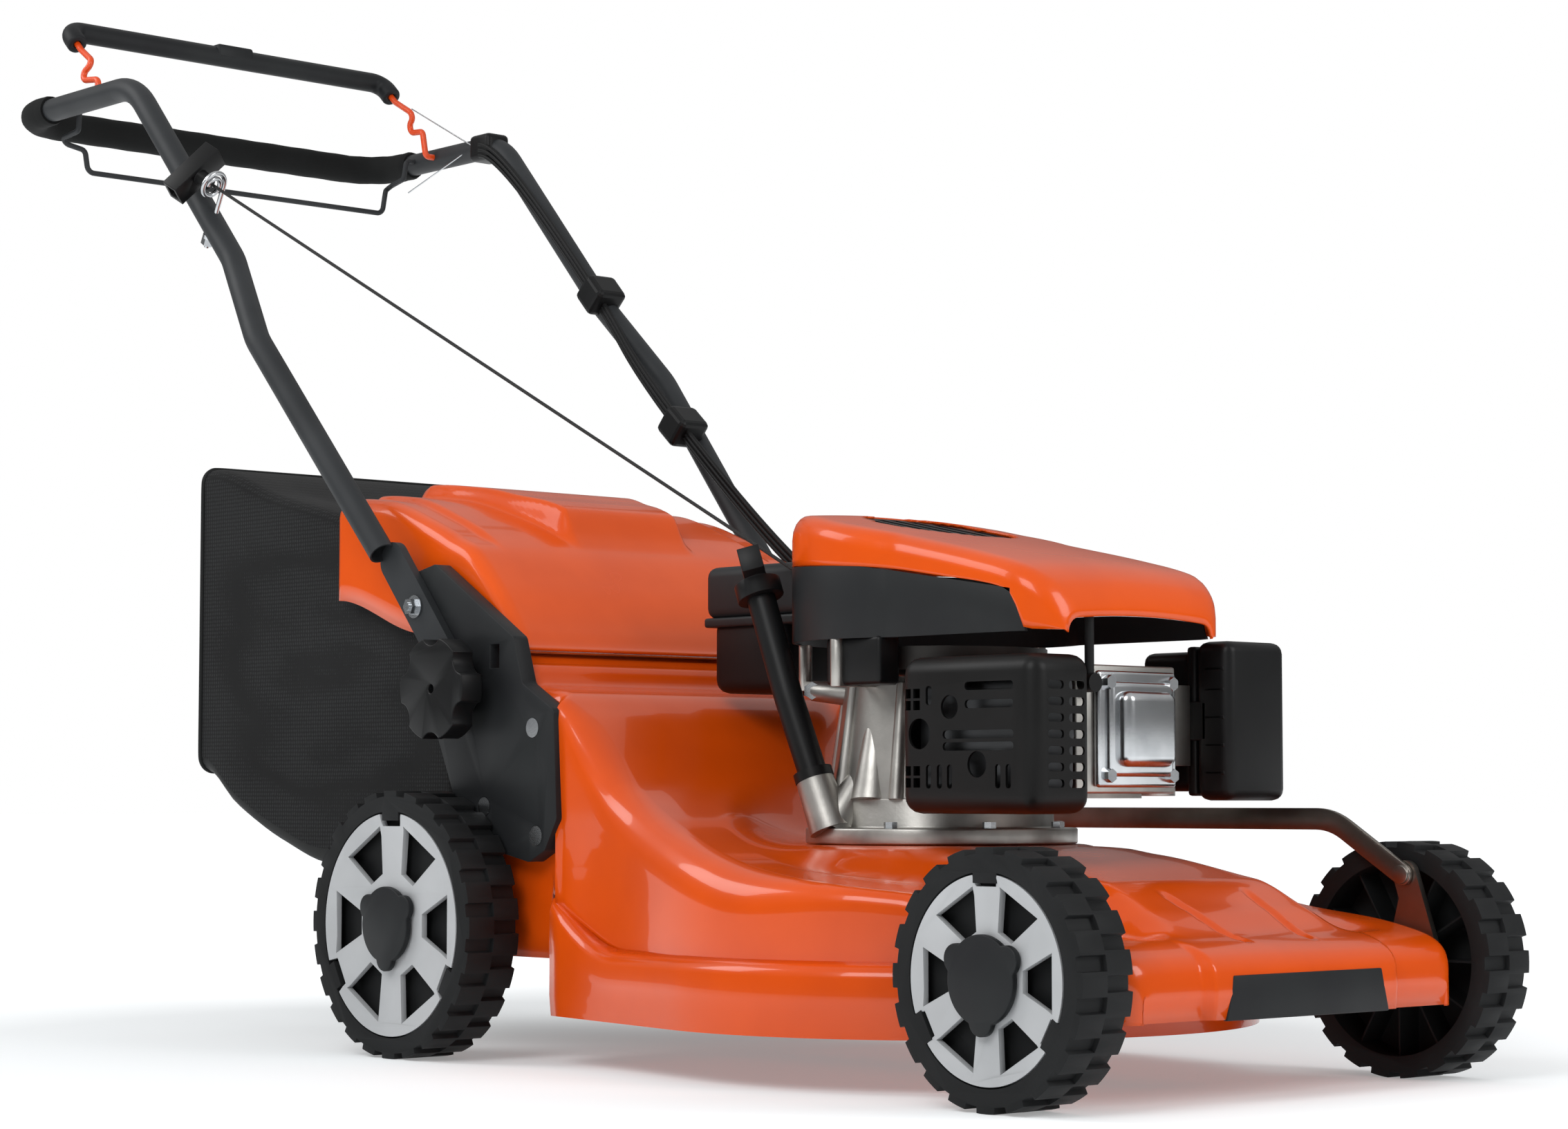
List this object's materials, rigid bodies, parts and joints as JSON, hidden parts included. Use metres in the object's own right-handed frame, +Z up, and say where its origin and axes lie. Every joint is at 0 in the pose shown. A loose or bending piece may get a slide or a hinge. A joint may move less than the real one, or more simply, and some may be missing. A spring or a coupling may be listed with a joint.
{
  "type": "push lawn mower",
  "caption": "Walk-behind petrol rotary lawn mower with a steel deck, folding tube handle with two bails, recoil starter and a rear grass bag under a lifting flap",
  "frame": {"origin": "middle of the base of the whole mower, on the ground under the wheels", "axes": "+X forward in the direction of mowing, +Y to the operator's left, +Z up"},
  "size_m": [1.6672, 0.6, 1.1105],
  "materials": {
    "orange_paint": "gloss",
    "orange_plastic": "gloss",
    "graphite_steel": "satin",
    "graphite_plastic": "satin",
    "black_plastic": "satin",
    "black_steel": "satin",
    "black_fabric": "matte",
    "black_rubber": "matte",
    "tyre_plastic": "matte",
    "grey_plastic": "satin",
    "zinc_steel": "brushed",
    "cast_aluminium": "cast",
    "cast_iron": "cast"
  },
  "bodies": {
    "chassis": {"deck": "orange_paint", "front_insert": "graphite_plastic", "bracket_left": "graphite_plastic", "bracket_right": "graphite_plastic", "bracket_fasteners": "zinc_steel", "flap_hinge_rod": "zinc_steel", "sump": "cast_aluminium", "crankcase": "cast_aluminium", "cylinder_head": "cast_aluminium", "valve_cover": "zinc_steel", "valve_cover_bolts": "zinc_steel", "muffler": "black_steel", "muffler_guard": "black_steel", "spark_plug_lead": "black_rubber", "carburettor": "cast_aluminium", "air_filter_housing": "black_plastic", "fuel_tank": "black_plastic", "oil_filler_tube": "black_plastic", "blower_shroud": "graphite_plastic", "engine_cowl": "orange_plastic", "starter_grille": "black_plastic"},
    "front_axle": {"front_axle": "zinc_steel"},
    "rear_axle": {"rear_axle": "zinc_steel"},
    "height_link": {"link_bar": "zinc_steel", "height_lever": "black_steel"},
    "front_left_wheel": {"wheel_front_left": "tyre_plastic", "wheel_cover_front_left": "grey_plastic", "hub_cap_front_left": "graphite_plastic"},
    "front_right_wheel": {"wheel_front_right": "tyre_plastic", "wheel_cover_front_right": "grey_plastic", "hub_cap_front_right": "graphite_plastic"},
    "rear_left_wheel": {"wheel_rear_left": "tyre_plastic", "wheel_cover_rear_left": "grey_plastic", "hub_cap_rear_left": "graphite_plastic"},
    "rear_right_wheel": {"wheel_rear_right": "tyre_plastic", "wheel_cover_rear_right": "grey_plastic", "hub_cap_rear_right": "graphite_plastic"},
    "handle": {"handlebar": "graphite_steel", "foam_grip": "black_rubber", "rope_guide": "zinc_steel", "cable_bracket": "black_plastic", "cable_clips": "black_plastic", "control_cables": "black_rubber", "starter_rope": "black_fabric", "starter_rope_tail": "black_fabric"},
    "stop_bail": {"stop_bail_wire": "orange_paint", "stop_bail_cover": "graphite_plastic"},
    "drive_bail": {"drive_bail": "black_steel"},
    "starter_pull": {"starter_grip": "black_plastic"},
    "rear_flap": {"rear_flap": "orange_plastic"},
    "grass_bag": {"bag_fabric": "black_fabric", "bag_frame": "black_plastic"},
    "rotor": {"crankshaft": "zinc_steel", "flywheel": "cast_iron", "blade_adapter": "zinc_steel", "blade": "black_steel"},
    "knob_left": {"knob_left": "black_plastic"},
    "knob_right": {"knob_right": "black_plastic"},
    "fuel_cap": {"fuel_cap": "black_plastic"},
    "oil_cap": {"oil_cap": "black_plastic"}
  },
  "joints": [
    {"name": "front_height", "type": "hinge", "parent": "chassis", "child": "front_axle", "pos_m": [0.7741, 0, 0.112], "axis": [0, 1, 0], "range_deg": [-30, 30]},
    {"name": "rear_height", "type": "hinge", "parent": "chassis", "child": "rear_axle", "pos_m": [0.0181, 0, 0.134], "axis": [0, 1, 0], "range_deg": [-30, 30]},
    {"name": "link_swing", "type": "hinge", "parent": "front_axle", "child": "height_link", "pos_m": [0.7531, 0.21, 0.175], "axis": [0, 1, 0], "range_deg": [-30, 30]},
    {"name": "front_left_spin", "type": "hinge", "parent": "front_axle", "child": "front_left_wheel", "pos_m": [0.7321, 0.25, 0.1015], "axis": [0, 1, 0], "continuous": true},
    {"name": "front_right_spin", "type": "hinge", "parent": "front_axle", "child": "front_right_wheel", "pos_m": [0.7321, -0.25, 0.1015], "axis": [0, 1, 0], "continuous": true},
    {"name": "rear_left_spin", "type": "hinge", "parent": "rear_axle", "child": "rear_left_wheel", "pos_m": [-0.0239, 0.25, 0.1235], "axis": [0, 1, 0], "continuous": true},
    {"name": "rear_right_spin", "type": "hinge", "parent": "rear_axle", "child": "rear_right_wheel", "pos_m": [-0.0239, -0.25, 0.1235], "axis": [0, 1, 0], "continuous": true},
    {"name": "handle_fold", "type": "hinge", "parent": "chassis", "child": "handle", "pos_m": [-0.0559, 0, 0.421], "axis": [0, 1, 0], "range_deg": [0, 135], "deforming": ["starter_rope", "control_cables"]},
    {"name": "stop_bail_squeeze", "type": "hinge", "parent": "handle", "child": "stop_bail", "pos_m": [-0.6859, 0, 1.001], "axis": [0, -1, 0], "range_deg": [0, 36], "stiffness_Nm_per_rad": 1.6, "springref_deg": -28.65},
    {"name": "drive_bail_squeeze", "type": "hinge", "parent": "handle", "child": "drive_bail", "pos_m": [-0.7249, 0, 1.001], "axis": [0, 1, 0], "range_deg": [0, 65], "stiffness_Nm_per_rad": 0.5, "springref_deg": -22.92},
    {"name": "starter_rope_pull", "type": "slide", "parent": "handle", "child": "starter_pull", "axis": [-0.8181, -0.2503, 0.5177], "range_m": [0, 0.5], "stiffness_N_per_m": 30, "springref_m": -0.4, "deforming": ["starter_rope_tail"]},
    {"name": "flap_lift", "type": "hinge", "parent": "chassis", "child": "rear_flap", "pos_m": [0.0721, 0, 0.377], "axis": [0, 1, 0], "range_deg": [0, 28], "stiffness_Nm_per_rad": 3, "springref_deg": -34.38},
    {"name": "bag_slide", "type": "slide", "parent": "chassis", "child": "grass_bag", "axis": [-1, 0, 0], "range_m": [0, 0.35]},
    {"name": "crank_spin", "type": "hinge", "parent": "chassis", "child": "rotor", "pos_m": [0.4051, 0, 0.2], "axis": [0, 0, 1], "continuous": true},
    {"name": "knob_left_turn", "type": "hinge", "parent": "chassis", "child": "knob_left", "pos_m": [0.01368, 0.26, 0.34103], "axis": [0, 1, 0], "continuous": true},
    {"name": "knob_right_turn", "type": "hinge", "parent": "chassis", "child": "knob_right", "pos_m": [0.01368, -0.26, 0.34103], "axis": [0, 1, 0], "continuous": true},
    {"name": "fuel_cap_turn", "type": "hinge", "parent": "chassis", "child": "fuel_cap", "pos_m": [0.1971, 0.07, 0.465], "axis": [0, 0, 1], "continuous": true},
    {"name": "oil_cap_lift", "type": "slide", "parent": "chassis", "child": "oil_cap", "axis": [-0.3786, 0, 0.9255], "range_m": [0, 0.12]}
  ],
  "couplings": [
    {"joint": "rear_height", "follows": "front_height", "ratio": 1},
    {"joint": "link_swing", "follows": "front_height", "ratio": -1}
  ]
}
